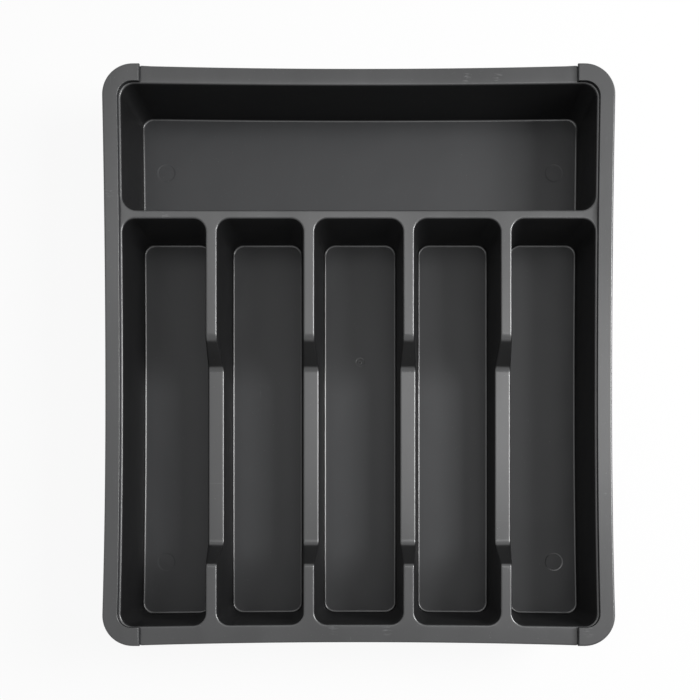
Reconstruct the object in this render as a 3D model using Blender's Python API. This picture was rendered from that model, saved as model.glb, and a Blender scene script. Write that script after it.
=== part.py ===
"""Expandable drawer organizer: a centre tray over two side trays that slide out from under it.

Metres, +Z up, +Y to the back of the drawer, +X to the right. The origin lies on the surface that the
organizer stands on, under the middle of its closed outline.
"""
import math

import bmesh
import bpy
from mathutils.geometry import delaunay_2d_cdt

# Closed outline
tray_depth = 0.3657
end_rim_width = 0.01105
outline_corner_radius = 0.0198

# Rubber feet
foot_radius = 0.006
foot_height = 0.0028
foot_edge_round = 0.0006
foot_cup_wall = 0.0014
foot_cup_depth = 0.0009
foot_recess = 0.0002
foot_inset_x = 0.0185
foot_inset_y = 0.0165
centre_foot_inset_y = 0.0485

# Walls and running gaps
floor_thickness = 0.0018
wall_thickness = 0.0018
side_floor_thickness = 0.0018
side_wall_thickness = 0.0019
running_gap = 0.0005
rim_gap = 0.0004
seat_gap = 0.0003

# Pockets of the centre tray
pocket_depth = 0.044
outer_pocket_width = 0.0539
inner_pocket_width = 0.05435
middle_pocket_width = 0.0558
divider_width = 0.00715
cross_divider_width = 0.0055
wide_pocket_length = 0.0796
pocket_corner_radius = 0.0081
wide_pocket_corner_radius = 0.0092
side_draft = 0.0037
end_draft = 0.0042
floor_fillet = 0.0015
rim_fillet = 0.0013
smallest_corner_radius = 0.0008

# Rim of the centre tray
rim_thickness = 0.0022
rim_edge_round = 0.0012
rim_skirt_depth = 0.0024
rim_skirt_thickness = 0.0014
end_lip_land = 0.0004
end_lip_round = 0.0005
flange_end_radius = 0.0020
flange_root_radius = 0.0008
flange_root_land = 0.0016
skirt_run_out = 0.0060
flange_overlap = 0.0011

# Lowered middle of the four long dividers
dip_back_distance = 0.0754
dip_front_distance = 0.0389
dip_depth = 0.0195
dip_back_slope = 0.0160
dip_front_slope = 0.0125
dip_back_rim_round = 0.0080
dip_front_rim_round = 0.0035
dip_foot_round = 0.0060

# Drawn-in long edges
side_bow = 0.0025
side_bow_middle = -0.030
back_bow = 0.0019
front_bow = 0.0020
bow_margin = 0.0335

# Raised end caps of the side trays
cap_thickness = 0.0028
cap_edge_round = 0.0013
cap_end_round = 0.0011
cap_skirt_depth = 0.0045
cap_skirt_thickness = 0.0018
cap_setback_end = 0.0017
cap_setback_side = 0.0005

# Side trays
side_inner_edge = 0.018
slot_end_land = 0.0051
side_floor_fillet = 0.0032
front_slide_lip_width = 0.0038
back_slide_lip_width = 0.00335
slide_lip_thickness = 0.0016

# Slide bosses and their push-in studs
boss_inset_x = 0.01995
boss_inset_front = 0.0392
boss_inset_back = 0.04085
boss_radius = 0.0040
stud_shank_radius = 0.0020
stud_grip = 0.0030
stud_head_radius = 0.0066
stud_head_thickness = 0.0013
stud_head_round = 0.0005
stud_play = 0.0005

# Facets
corner_steps = 5
outline_corner_steps = 7
fillet_steps = 2
outer_fillet_steps = 2
dip_round_steps = 2
bow_marks = 6
round_sides = 18
flare_end_angle = math.radians(78)
overrun = 0.010
merge_distance = 0.0000001

# Levels, from the drawer floor up
side_floor_bottom = foot_height - foot_recess
side_floor_top = side_floor_bottom + side_floor_thickness
foot_seat = side_floor_bottom + foot_recess
floor_bottom = side_floor_top + running_gap
floor_top = floor_bottom + floor_thickness
rim_top = floor_top + pocket_depth
rim_bottom = rim_top - rim_thickness
cap_bottom = rim_top + rim_gap
cap_top = cap_bottom + cap_thickness
slide_lip_top = rim_bottom - rim_gap

# Widths of the rims: a pocket's lip, then the side tray's wall and lip, then the rim's own skirt
end_lip_width = rim_fillet + end_lip_land + end_lip_round
end_lip_share = end_lip_round / rim_edge_round
wall_inset = end_lip_width + running_gap
wall_band = wall_inset + side_wall_thickness
front_rim_width = wall_band + front_slide_lip_width + rim_gap + rim_skirt_thickness + front_bow
back_rim_width = wall_band + back_slide_lip_width + rim_gap + rim_skirt_thickness + back_bow

# Places across the tray
pockets_half_width = (middle_pocket_width / 2 + inner_pocket_width + outer_pocket_width
                      + 2 * divider_width)
half_width = pockets_half_width + end_rim_width
half_depth = tray_depth / 2
columns_front = -half_depth + front_rim_width
wide_back = half_depth - back_rim_width
wide_front = wide_back - wide_pocket_length
columns_back = wide_front - cross_divider_width
dip_back = columns_back - dip_back_distance
dip_front = columns_front + dip_front_distance
corner_start = pockets_half_width - max(pocket_corner_radius, wide_pocket_corner_radius)
flange_end = corner_start - flange_root_radius - flange_root_land
cap_end = flange_end - flange_overlap
high_wall_start = flange_end + flange_root_radius + rim_gap
boss_x = pockets_half_width - boss_inset_x
slide_travel = boss_x - boss_radius - rim_gap - slot_end_land - side_inner_edge
boss_front = columns_front + boss_inset_front
boss_back = wide_back - boss_inset_back


def clear_scene():
    for old in list(bpy.data.objects):
        bpy.data.objects.remove(old, do_unlink=True)


def plastic(name, colour, roughness):
    material = bpy.data.materials.new(name)
    material.use_nodes = True
    shader = material.node_tree.nodes["Principled BSDF"]
    shader.inputs["Base Color"].default_value = (*colour, 1.0)
    shader.inputs["Roughness"].default_value = roughness
    shader.inputs["Metallic"].default_value = 0.0
    return material


# Plan outlines

def between(start, end, count):
    """The places that split a length into equal parts, without its ends."""
    return [start + (end - start) * step / count for step in range(1, count)]


def arc(start_angle, end_angle, steps):
    return [start_angle + (end_angle - start_angle) * step / steps for step in range(steps + 1)]


class Plan:
    """A rounded rectangle seen from above, which shrinks or grows about fixed corner centres.

    Each station is a point of its outline: the centre that it moves to and from, the direction in
    which it looks out and its reach that way. marks_x and marks_y are extra stations along the
    straight sides, so that those can bow or dip.
    """

    def __init__(self, left, right, front, back, radius, steps, marks_x=(), marks_y=(), back_radius=None):
        near, far = radius, back_radius or radius
        south, north = front + near, back - far
        along_x = [x for x in marks_x if left + max(near, far) < x < right - max(near, far)]
        along_y = [y for y in marks_y if south < y < north]
        self.stations = []
        self.add_corner(left + near, south, math.pi, near, steps)
        self.stations += [(x, south, 0.0, -1.0, near) for x in along_x]
        self.add_corner(right - near, south, 1.5 * math.pi, near, steps)
        self.stations += [(right - near, y, 1.0, 0.0, near) for y in along_y]
        self.add_corner(right - far, north, 0.0, far, steps)
        self.stations += [(x, north, 0.0, 1.0, far) for x in reversed(along_x)]
        self.add_corner(left + far, north, 0.5 * math.pi, far, steps)
        self.stations += [(left + near, y, -1.0, 0.0, near) for y in reversed(along_y)]

    def add_corner(self, x, y, first_angle, reach, steps):
        for angle in arc(first_angle, first_angle + 0.5 * math.pi, steps):
            self.stations.append((x, y, math.cos(angle), math.sin(angle), reach))

    def point(self, station, inset_x, inset_y):
        x, y, out_x, out_y, reach = station
        reach_x = max(reach - inset_x, smallest_corner_radius)
        reach_y = max(reach - inset_y, smallest_corner_radius)
        return x + reach_x * out_x, y + reach_y * out_y

    def ring(self, inset_x, inset_y, z, draw_in):
        points = [self.point(station, inset_x, inset_y) for station in self.stations]
        return [(*draw_in(x, y), z) for x, y in points]


def draw_in_sides(x, y):
    """Both ends of the tray bow in a little between its corners."""
    start = pockets_half_width - outer_pocket_width
    share = (abs(x) - start) / (half_width - start)
    if share <= 0:
        return x, y
    reach = half_depth - side_bow_middle if y > side_bow_middle else half_depth + side_bow_middle
    bow = side_bow * share * max(0.0, 1 - ((y - side_bow_middle) / reach) ** 2)
    return x - math.copysign(bow, x), y


def draw_in_all(x, y):
    """The centre tray's front and back rims bow in as well, between the end caps."""
    share = (abs(y) - (half_depth - bow_margin)) / bow_margin
    if share > 0:
        amount = back_bow if y > 0 else front_bow
        bow = amount * share * max(0.0, 1 - (x / flange_end) ** 2)
        y -= math.copysign(bow, y)
    return draw_in_sides(x, y)


# Solids

def new_object(name, mesh):
    made = bpy.data.objects.new(name, mesh)
    bpy.context.scene.collection.objects.link(made)
    return made


def finish_mesh(shape, name):
    """Split the faces into triangles, turn them outwards and make an object of them."""
    bmesh.ops.triangulate(shape, faces=shape.faces)
    bmesh.ops.recalc_face_normals(shape, faces=shape.faces)
    mesh = bpy.data.meshes.new(name)
    shape.to_mesh(mesh)
    shape.free()
    return new_object(name, mesh)


def add_ring(shape, points):
    return [shape.verts.new(point) for point in points]


def bridge(shape, first, second):
    """Faces between two rings; where both share a vertex the face is a triangle or is left out."""
    for index in range(len(first)):
        following = (index + 1) % len(first)
        corners = []
        for vertex in (first[index], first[following], second[following], second[index]):
            if vertex not in corners:
                corners.append(vertex)
        if len(corners) > 2:
            shape.faces.new(corners)


def stack(shape, rings):
    """Bridge a list of rings, given as points or as vertices, and give back their vertices."""
    rows = [ring if isinstance(ring[0], bmesh.types.BMVert) else add_ring(shape, ring) for ring in rings]
    for lower, upper in zip(rows, rows[1:]):
        bridge(shape, lower, upper)
    return rows


def encloses(loop, x, y):
    inside = False
    for one, other in zip(loop, loop[1:] + loop[:1]):
        if (one.co.y > y) != (other.co.y > y):
            crossing = one.co.x + (y - one.co.y) * (other.co.x - one.co.x) / (other.co.y - one.co.y)
            inside ^= x < crossing
    return inside


def fill(shape, outer, holes, ties=()):
    """Cover the surface between an outer loop and the holes in it; ties are edges it must keep."""
    loops = [outer] + holes
    vertices = [vertex for loop in loops for vertex in loop]
    place = {vertex: index for index, vertex in enumerate(vertices)}
    edges = [(place[one], place[other]) for loop in loops for one, other in zip(loop, loop[1:] + loop[:1])]
    edges += [(place[one], place[other]) for one, other in ties]
    plan = [vertex.co.to_2d() for vertex in vertices]
    found = delaunay_2d_cdt(plan, edges, [], 0, merge_distance)
    faces, origins = found[2], found[3]
    for face in faces:
        corners = [vertices[origins[index][0]] for index in face]
        x = sum(vertex.co.x for vertex in corners) / len(corners)
        y = sum(vertex.co.y for vertex in corners) / len(corners)
        if encloses(outer, x, y) and not any(encloses(hole, x, y) for hole in holes):
            shape.faces.new(corners)


def loft(name, rings):
    """Bridge rings of equal length from the bottom up and close both ends."""
    shape = bmesh.new()
    rows = stack(shape, rings)
    shape.faces.new(list(reversed(rows[0])))
    shape.faces.new(rows[-1])
    return finish_mesh(shape, name)


def extrude_profile(name, profile, axis, start, end):
    """A closed profile carried straight along X (profile in Y, Z) or along Y (profile in X, Z)."""
    if axis == "X":
        rings = [[(place, across, z) for across, z in profile] for place in (start, end)]
    else:
        rings = [[(across, place, z) for across, z in profile] for place in (start, end)]
    return loft(name, rings)


def box(name, low, high):
    profile = [(low[1], low[2]), (high[1], low[2]), (high[1], high[2]), (low[1], high[2])]
    return extrude_profile(name, profile, "X", low[0], high[0])


def circle(x, y, radius, z):
    angles = [2 * math.pi * side / round_sides for side in range(round_sides)]
    return [(x + radius * math.cos(angle), y + radius * math.sin(angle), z) for angle in angles]


def turned(name, profile, x, y):
    """A solid turned about an upright axis, from the (radius, z) pairs of its side."""
    return loft(name, [circle(x, y, radius, z) for radius, z in profile])


def combine(target, others, operation):
    """Join or cut with the other solids, then drop them.

    The solver is the manifold one: the exact one leaves open edges where the foot cups meet the
    floor, and all of these solids are closed.
    """
    for other in others:
        other.hide_render = True
        other.display_type = "WIRE"
        modifier = target.modifiers.new(operation.lower(), "BOOLEAN")
        modifier.operation = operation
        modifier.solver = "MANIFOLD"
        modifier.object = other
    bpy.context.view_layer.update()
    evaluated = target.evaluated_get(bpy.context.evaluated_depsgraph_get())
    result = bpy.data.meshes.new_from_object(evaluated)
    target.modifiers.clear()
    target.data = result
    for other in others:
        bpy.data.objects.remove(other, do_unlink=True)
    return target


def finish_piece(piece, material, parent=None):
    """Give a piece its material and its smooth shading, and hang it on its joint."""
    piece.data.materials.clear()
    piece.data.materials.append(material)
    piece.data.shade_smooth()
    piece.data.set_sharp_from_angle(angle=math.radians(35))
    if parent is not None:
        piece.parent = parent
        piece.matrix_parent_inverse = parent.matrix_world.inverted()
    return piece


# Profiles

def rounded_path(corners, radii, steps):
    """An open path whose inner corners are replaced by arcs."""
    path = [corners[0]]
    for before, corner, after, radius in zip(corners, corners[1:], corners[2:], radii):
        inward = math.atan2(before[1] - corner[1], before[0] - corner[0])
        outward = math.atan2(after[1] - corner[1], after[0] - corner[0])
        opening = (outward - inward + math.pi) % (2 * math.pi) - math.pi
        middle = inward + opening / 2
        reach = radius / abs(math.sin(opening / 2))
        centre = (corner[0] + reach * math.cos(middle), corner[1] + reach * math.sin(middle))
        sweep = math.copysign(math.pi - abs(opening), opening)
        first = middle + math.pi + sweep / 2
        for angle in arc(first, first - sweep, steps):
            path.append((centre[0] + radius * math.cos(angle),
                         centre[1] + radius * math.sin(angle)))
    path.append(corners[-1])
    return path


def dip_corners():
    """The top line of a long divider past its dip, front to back, as (y, z) with its radii."""
    run_out = 2 * max(dip_front_rim_round, dip_back_rim_round)
    low = rim_top - dip_depth
    corners = [(dip_front - run_out, rim_top), (dip_front, rim_top),
               (dip_front + dip_front_slope, low), (dip_back - dip_back_slope, low),
               (dip_back, rim_top), (dip_back + run_out, rim_top)]
    return corners, [dip_front_rim_round, dip_foot_round, dip_foot_round, dip_back_rim_round]


def dip_line():
    """The divider's top line with its arcs, without the level ends."""
    corners, radii = dip_corners()
    return rounded_path(corners, radii, dip_round_steps)[1:-1]


def dip_underside():
    """The same line a rim's thickness further in."""
    line = dip_line()
    shifted = [(line[0][0], rim_bottom)]
    for before, point, after in zip(line, line[1:], line[2:]):
        run, rise = after[0] - before[0], after[1] - before[1]
        length = math.hypot(run, rise)
        shifted.append((point[0] + rim_thickness * rise / length,
                        point[1] - rim_thickness * run / length))
    return shifted + [(line[-1][0], rim_bottom)]


def height_on(line, y, level):
    """The height of a dip line at y, or the level past its ends."""
    for (start, low), (end, high) in zip(line, line[1:]):
        if start <= y <= end:
            return low + (high - low) * (y - start) / (end - start)
    return level


# Centre tray

def draft_at(z):
    """How far a pocket's long walls and end walls have come in at this height."""
    share = (rim_top - z) / pocket_depth
    return side_draft * share, end_draft * share


class Pocket:
    """A pocket of the centre tray: its plan, and whether its left and right walls dip."""

    def __init__(self, left, right, front, back, radius, dips_left, dips_right, bows):
        self.left, self.right, self.front, self.back, self.radius = left, right, front, back, radius
        self.dips_left, self.dips_right, self.bows = dips_left, dips_right, bows

    def plan(self, line):
        marks_x = between(-flange_end, flange_end, bow_marks) if self.bows else []
        marks_y = between(-half_depth, half_depth, bow_marks) if self.bows else []
        if self.dips_left or self.dips_right:
            marks_y = sorted(marks_y + [y for y, z in line])
        return Plan(self.left, self.right, self.front, self.back, self.radius, corner_steps,
                    marks_x, marks_y)

    def height(self, line, level, x, y):
        dips = self.dips_left if x < (self.left + self.right) / 2 else self.dips_right
        return height_on(line, y, level) if dips else level

    def ring(self, line, level, drop, offset):
        """One ring of a wall's face: a drop below its local top, set back by the offset."""
        plan = self.plan(line)
        points = []
        for station in plan.stations:
            z = self.height(line, level, *plan.point(station, 0.0, 0.0)) - drop
            draft_x, draft_y = draft_at(z)
            x, y = plan.point(station, draft_x + offset, draft_y + offset)
            points.append((*draw_in_all(x, y), z))
        return points

    def flat_ring(self, line, z, offset):
        """One level ring of a wall's face."""
        plan = self.plan(line)
        draft_x, draft_y = draft_at(z)
        return plan.ring(draft_x + offset, draft_y + offset, z, draw_in_all)


def pockets():
    """The wide pocket at the back, and the five long ones from left to right."""
    found = [Pocket(-pockets_half_width, pockets_half_width, wide_front, wide_back,
                    wide_pocket_corner_radius, False, False, True)]
    left = -pockets_half_width
    widths = [outer_pocket_width, inner_pocket_width, middle_pocket_width,
              inner_pocket_width, outer_pocket_width]
    for number, width in enumerate(widths):
        first, last = number == 0, number == len(widths) - 1
        found.append(Pocket(left, left + width, columns_front, columns_back, pocket_corner_radius,
                            not first, not last, first or last))
        left += width + divider_width
    return found


def inner_face(shape, pocket):
    """A pocket's floor, floor fillet, drafted wall and flared top edge; gives back its mouth."""
    line = dip_line()
    rings = []
    for angle in arc(0.0, 0.5 * math.pi, fillet_steps):
        rings.append(pocket.flat_ring(line, floor_top + floor_fillet * (1 - math.cos(angle)),
                                      floor_fillet * (1 - math.sin(angle))))
    for angle in arc(0.0, 0.5 * math.pi, fillet_steps):
        rings.append(pocket.ring(line, rim_top, rim_fillet * (1 - math.sin(angle)),
                                 -rim_fillet * (1 - math.cos(angle))))
    rows = stack(shape, rings)
    fill(shape, rows[0], [])
    return rows[-1]


def outer_face(shape, pocket, studs):
    """The outside of a pocket's wall and floor, with what stands on it; gives back its top ring."""
    line = dip_underside()
    radius = floor_fillet + wall_thickness
    rings = []
    for angle in arc(0.0, 0.5 * math.pi, outer_fillet_steps):
        rings.append(pocket.flat_ring(line, floor_bottom + radius * (1 - math.cos(angle)),
                                      radius * (1 - math.sin(angle)) - wall_thickness))
    rings.append(pocket.ring(line, rim_bottom, 0.0, -wall_thickness))
    rows = stack(shape, rings)
    holes = [stand(shape, x, y, profile) for x, y, profile in studs
             if pocket.left < x < pocket.right and pocket.front < y < pocket.back]
    fill(shape, rows[0], holes)
    return rows[-1]


def stand(shape, x, y, profile):
    """Turn a profile of (radius, z) that hangs from the floor about x, y; gives back its root."""
    rows = stack(shape, [circle(x, y, radius, z) for radius, z in profile])
    fill(shape, rows[-1], [])
    return rows[0]


def ties_across(mouths, line):
    """Pairs of vertices that face each other over a divider at each point of its dip."""
    found = []
    for left, right in zip(mouths[1:], mouths[2:]):
        middle = (max(v.co.x for v in left) + min(v.co.x for v in right)) / 2
        for y, z in line:
            pair = [min((v for v in loop if abs(v.co.y - y) < merge_distance * 100),
                        key=lambda v: abs(v.co.x - middle)) for loop in (left, right)]
            found.append(pair)
    return found


def rim_quadrant(edge, pocket_edge, pocket_radius, inset):
    """A quarter of the rim's outline, from the middle of its front or back to the end's middle.

    Points are (x, outward, skirt share); edge and pocket_edge say how far out the rim and the
    pockets reach.
    """
    lip = pocket_edge + end_lip_width
    lip_right = pockets_half_width + end_lip_width
    lip_radius = pocket_radius + end_lip_width
    skirt_end = flange_end - flange_end_radius
    along = [x for x in between(-flange_end, flange_end, bow_marks) if 0 < x < skirt_end - skirt_run_out]
    points = [(x, edge - inset, 1.0) for x in along + [skirt_end - skirt_run_out]]
    centre = (skirt_end, edge - flange_end_radius)
    for angle in arc(0.5 * math.pi, 0.0, outer_fillet_steps):
        reach = flange_end_radius - inset
        points.append((centre[0] + reach * math.cos(angle), centre[1] + reach * math.sin(angle), 0.0))
    lip_inset = inset * end_lip_share
    centre = (flange_end + flange_root_radius, lip + flange_root_radius)
    for angle in arc(math.pi, 1.5 * math.pi, outer_fillet_steps):
        points.append((centre[0] + (flange_root_radius + inset) * math.cos(angle),
                       centre[1] + (flange_root_radius + lip_inset) * math.sin(angle), 0.0))
    centre = (lip_right - lip_radius, lip - lip_radius)
    for angle in arc(0.5 * math.pi, 0.0, corner_steps):
        reach = lip_radius - lip_inset
        points.append((centre[0] + reach * math.cos(angle), centre[1] + reach * math.sin(angle), 0.0))
    side = [y for y in between(-half_depth, half_depth, bow_marks) if 0 < y < centre[1]]
    return points + [(lip_right - lip_inset, y, 0.0) for y in reversed(side)]


def rim_outline(inset):
    """The whole outline of the rim, once round, as (x, y, skirt share)."""
    front = rim_quadrant(half_depth, -columns_front, pocket_corner_radius, inset)
    back = rim_quadrant(half_depth, wide_back, wide_pocket_corner_radius, inset)
    end = pockets_half_width + end_lip_width - inset * end_lip_share
    outline = [(0.0, inset - half_depth, 1.0)]
    outline += [(x, -out, share) for x, out, share in front] + [(end, 0.0, 0.0)]
    outline += [(x, out, share) for x, out, share in reversed(back)]
    outline += [(0.0, half_depth - inset, 1.0)]
    outline += [(-x, out, share) for x, out, share in back] + [(-end, 0.0, 0.0)]
    outline += [(-x, -out, share) for x, out, share in reversed(front)]
    return outline


def rim_edge(shape):
    """The rim's rounded outer edge with its skirt; gives back its top ring and its inner ring."""
    rings = []
    for angle in arc(0.5 * math.pi, 0.0, outer_fillet_steps):
        inset = rim_edge_round * (1 - math.cos(angle))
        z = rim_top - rim_edge_round * (1 - math.sin(angle))
        rings.append([(*draw_in_all(x, y), z) for x, y, share in rim_outline(inset)])
    for inset in (0.0, rim_skirt_thickness):
        rings.append([(*draw_in_all(x, y), rim_bottom - share * rim_skirt_depth)
                      for x, y, share in rim_outline(inset)])
    rows = stack(shape, rings)
    inner = [shape.verts.new((vertex.co.x, vertex.co.y, rim_bottom)) if share else vertex
             for vertex, (x, y, share) in zip(rows[-1], rim_outline(rim_skirt_thickness))]
    bridge(shape, rows[-1], inner)
    return rows[0], inner


def boss_places():
    return [(side_name, end_name, side * boss_x, y)
            for side_name, side in (("left", -1), ("right", 1))
            for end_name, y in (("front", boss_front), ("back", boss_back))]


def boss_profile():
    """A round boss below the floor, which runs in a side tray's slot, with a hole for its stud."""
    low = side_floor_bottom - seat_gap / 2
    hole = stud_shank_radius + seat_gap
    top = side_floor_bottom + stud_grip + seat_gap
    return [(boss_radius, floor_bottom), (boss_radius, low), (hole, low), (hole, top)]


def cup_profile(root):
    """A shallow ring that holds a rubber foot, from the floor above down and back in."""
    inner = foot_radius + seat_gap
    outer = inner + foot_cup_wall
    bottom = side_floor_bottom - foot_cup_depth
    return [(outer, root), (outer, bottom), (inner, bottom), (inner, foot_seat)]


def centre_foot_places():
    return [("front", 0.0, columns_front + centre_foot_inset_y),
            ("back", 0.0, wide_back - centre_foot_inset_y)]


def centre_tray(material):
    """One moulding: rim, six drafted pockets, hollow dividers, slide bosses and two foot cups."""
    shape = bmesh.new()
    rim, under_rim = rim_edge(shape)
    below = [(x, y, boss_profile()) for side, end, x, y in boss_places()]
    below += [(x, y, cup_profile(floor_bottom)) for end, x, y in centre_foot_places()]
    mouths = [inner_face(shape, pocket) for pocket in pockets()]
    roots = [outer_face(shape, pocket, below) for pocket in pockets()]
    fill(shape, rim, mouths, ties_across(mouths, dip_line()))
    fill(shape, under_rim, roots, ties_across(roots, dip_underside()))
    return finish_piece(finish_mesh(shape, "centre_tray"), material)


# Side trays, modelled on the right and mirrored for the left

def side_wall_rings(setback, levels):
    """Rings of one face of the side tray's wall: levels are (z, extra inset of the floor fillet)."""
    plan = Plan(-side_inner_edge - overrun, pockets_half_width + wall_inset, columns_front - wall_inset,
                wide_back + wall_inset, pocket_corner_radius + wall_inset, corner_steps,
                marks_y=between(-half_depth, half_depth, bow_marks),
                back_radius=wide_pocket_corner_radius + wall_inset)
    rings = []
    for z, extra in levels:
        draft_x, draft_y = draft_at(z)
        rings.append(plan.ring(draft_x + extra - setback, draft_y + extra - setback, z, draw_in_sides))
    return rings


def fillet_levels(bottom, radius, top):
    """Levels of a wall that rises out of a floor fillet."""
    levels = [(bottom + radius * (1 - math.cos(angle)), radius * (1 - math.sin(angle)))
              for angle in arc(0.0, 0.5 * math.pi, outer_fillet_steps)]
    return levels + [(top, 0.0)]


def side_tray_walls():
    """A drafted tray with a rounded outer end; its walls are low where the centre tray's rim passes."""
    outside = fillet_levels(side_floor_bottom, side_floor_fillet + side_wall_thickness,
                            cap_bottom + cap_thickness / 2)
    inside = fillet_levels(side_floor_top, side_floor_fillet, cap_top + overrun)
    walls = loft("side_walls", side_wall_rings(side_wall_thickness, outside))
    hollow = loft("side_hollow", side_wall_rings(0.0, inside))
    far = half_depth + overrun
    over = box("low_part", (-half_width, -far, slide_lip_top),
               (high_wall_start, far, cap_top + overrun))
    return combine(walls, [hollow, over], "DIFFERENCE")


def slab_rings(plan, bottom, top, edge_round):
    """Rings of a flat slab with a rounded top edge."""
    rings = [plan.ring(0.0, 0.0, bottom, draw_in_sides)]
    for angle in arc(0.0, 0.5 * math.pi, outer_fillet_steps):
        inset = edge_round * (1 - math.cos(angle))
        rings.append(plan.ring(inset, inset, top - edge_round * (1 - math.sin(angle)), draw_in_sides))
    return rings


def end_cap():
    """The raised rim over the centre tray's end, with a skirt, round both outer corners."""
    outline = Plan(-half_width, half_width, -half_depth, half_depth, outline_corner_radius,
                   outline_corner_steps, marks_y=between(-half_depth, half_depth, bow_marks))
    bottom = cap_bottom - cap_skirt_depth
    cap = loft("end_cap", slab_rings(outline, bottom, cap_top, cap_edge_round))
    recess = loft("cap_recess", [outline.ring(cap_skirt_thickness, cap_skirt_thickness, z, draw_in_sides)
                                 for z in (bottom - overrun, cap_bottom)])
    far = half_depth + overrun
    low = bottom - overrun
    end_face = [(cap_end + cap_end_round * (1 - math.cos(angle)),
                 cap_top - cap_end_round * (1 - math.sin(angle)))
                for angle in arc(0.0, flare_end_angle, outer_fillet_steps)]
    profile = [(-half_width - overrun, low), (high_wall_start, low),
               (high_wall_start, cap_bottom), (cap_end, cap_bottom)]
    profile += end_face
    profile += [(end_face[-1][0], cap_top + overrun), (-half_width - overrun, cap_top + overrun)]
    inward = extrude_profile("cap_end_cut", profile, "Y", -far, far)
    return combine(cap, [recess, inward], "DIFFERENCE")


def cap_opening():
    """The opening inside the raised rim, with a rounded top edge."""
    plan = Plan(-pockets_half_width - cap_setback_end, pockets_half_width + cap_setback_end,
                columns_front - cap_setback_side, wide_back + cap_setback_side,
                pocket_corner_radius + cap_setback_side, corner_steps,
                marks_y=between(-half_depth, half_depth, bow_marks),
                back_radius=wide_pocket_corner_radius + cap_setback_side)
    rings = [plan.ring(0.0, 0.0, cap_bottom - rim_gap, draw_in_sides)]
    for angle in arc(0.0, flare_end_angle, outer_fillet_steps):
        flare = cap_edge_round * (1 - math.cos(angle))
        z = cap_top - cap_edge_round * (1 - math.sin(angle))
        rings.append(plan.ring(-flare, -flare, z, draw_in_sides))
    rings.append([(x, y, cap_top + overrun) for x, y, z in rings[-1]])
    return loft("cap_opening", rings)


def slide_lips():
    """Narrow lips along the low walls, which run under the centre tray's front and back rims."""
    low = slide_lip_top - slide_lip_thickness
    root = wall_inset + side_wall_thickness / 2
    back_face = wide_back + wall_band + back_slide_lip_width
    front_face = columns_front - wall_band - front_slide_lip_width
    return [box("back_lip", (0.0, wide_back + root, low), (cap_end, back_face, slide_lip_top)),
            box("front_lip", (0.0, front_face, low), (cap_end, columns_front - root, slide_lip_top))]


def slot(name, y):
    """The long hole that a slide boss runs in: its length is the travel of the tray."""
    radius = boss_radius + rim_gap
    outer, inner = boss_x, boss_x - slide_travel
    points = [(outer + radius * math.cos(angle), y + radius * math.sin(angle))
              for angle in arc(-0.5 * math.pi, 0.5 * math.pi, outline_corner_steps)]
    points += [(inner + radius * math.cos(angle), y + radius * math.sin(angle))
               for angle in arc(0.5 * math.pi, 1.5 * math.pi, outline_corner_steps)]
    return loft(name, [[(x, y_place, z) for x, y_place in points]
                       for z in (side_floor_bottom - overrun / 2, side_floor_top + overrun / 2)])


def side_foot_places():
    x = pockets_half_width - foot_inset_x + foot_radius
    return [("front", x, columns_front + foot_inset_y), ("back", x, wide_back - foot_inset_y)]


def foot_cup(name, x, y):
    """The ring under a side tray's floor that holds a rubber foot, and what is cut out of it."""
    root, bottom, lip, seat = cup_profile(side_floor_bottom + side_floor_thickness / 2)
    cup = turned(name, [bottom, root], x, y)
    bore = turned(name, [(lip[0], lip[1] - overrun), seat], x, y)
    return cup, bore


def right_tray_solid():
    tray = side_tray_walls()
    additions = [end_cap()] + slide_lips()
    cuts = [cap_opening(), slot("front_slot", boss_front), slot("back_slot", boss_back)]
    for end, x, y in side_foot_places():
        cup, bore = foot_cup(f"side_cup_{end}", x, y)
        additions.append(cup)
        cuts.append(bore)
    far = half_depth + overrun
    cuts.append(box("inner_end", (-half_width, -far, -overrun), (side_inner_edge, far, cap_top + overrun)))
    combine(tray, additions, "UNION")
    return combine(tray, cuts, "DIFFERENCE")


def mirrored(piece, name):
    """A copy of a piece on the other side of the tray, with its faces turned out again."""
    shape = bmesh.new()
    shape.from_mesh(piece.data)
    for vertex in shape.verts:
        vertex.co.x = -vertex.co.x
    bmesh.ops.reverse_faces(shape, faces=shape.faces)
    mesh = bpy.data.meshes.new(name)
    shape.to_mesh(mesh)
    shape.free()
    return new_object(name, mesh)


# Small pieces

def rounded_disc(radius, bottom, top, bottom_round):
    """The side of a disc whose lower edge is rounded."""
    profile = [(radius - bottom_round * (1 - math.sin(angle)), bottom + bottom_round * (1 - math.cos(angle)))
               for angle in arc(0.0, 0.5 * math.pi, outer_fillet_steps)]
    return profile + [(radius, top)]


def foot(name, x, y):
    return turned(name, rounded_disc(foot_radius, 0.0, foot_seat - seat_gap, foot_edge_round), x, y)


def slide_stud(name, x, y):
    """A push-in stud: its head keeps the side tray up against the centre tray."""
    head_top = side_floor_bottom - stud_play
    profile = rounded_disc(stud_head_radius, head_top - stud_head_thickness, head_top, stud_head_round)
    profile += [(stud_shank_radius, head_top), (stud_shank_radius, side_floor_bottom + stud_grip)]
    return turned(name, profile, x, y)


def joint_empty(name, x):
    empty = bpy.data.objects.new(name, None)
    empty.location = (x, 0.0, side_floor_top)
    bpy.context.scene.collection.objects.link(empty)
    return empty


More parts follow.
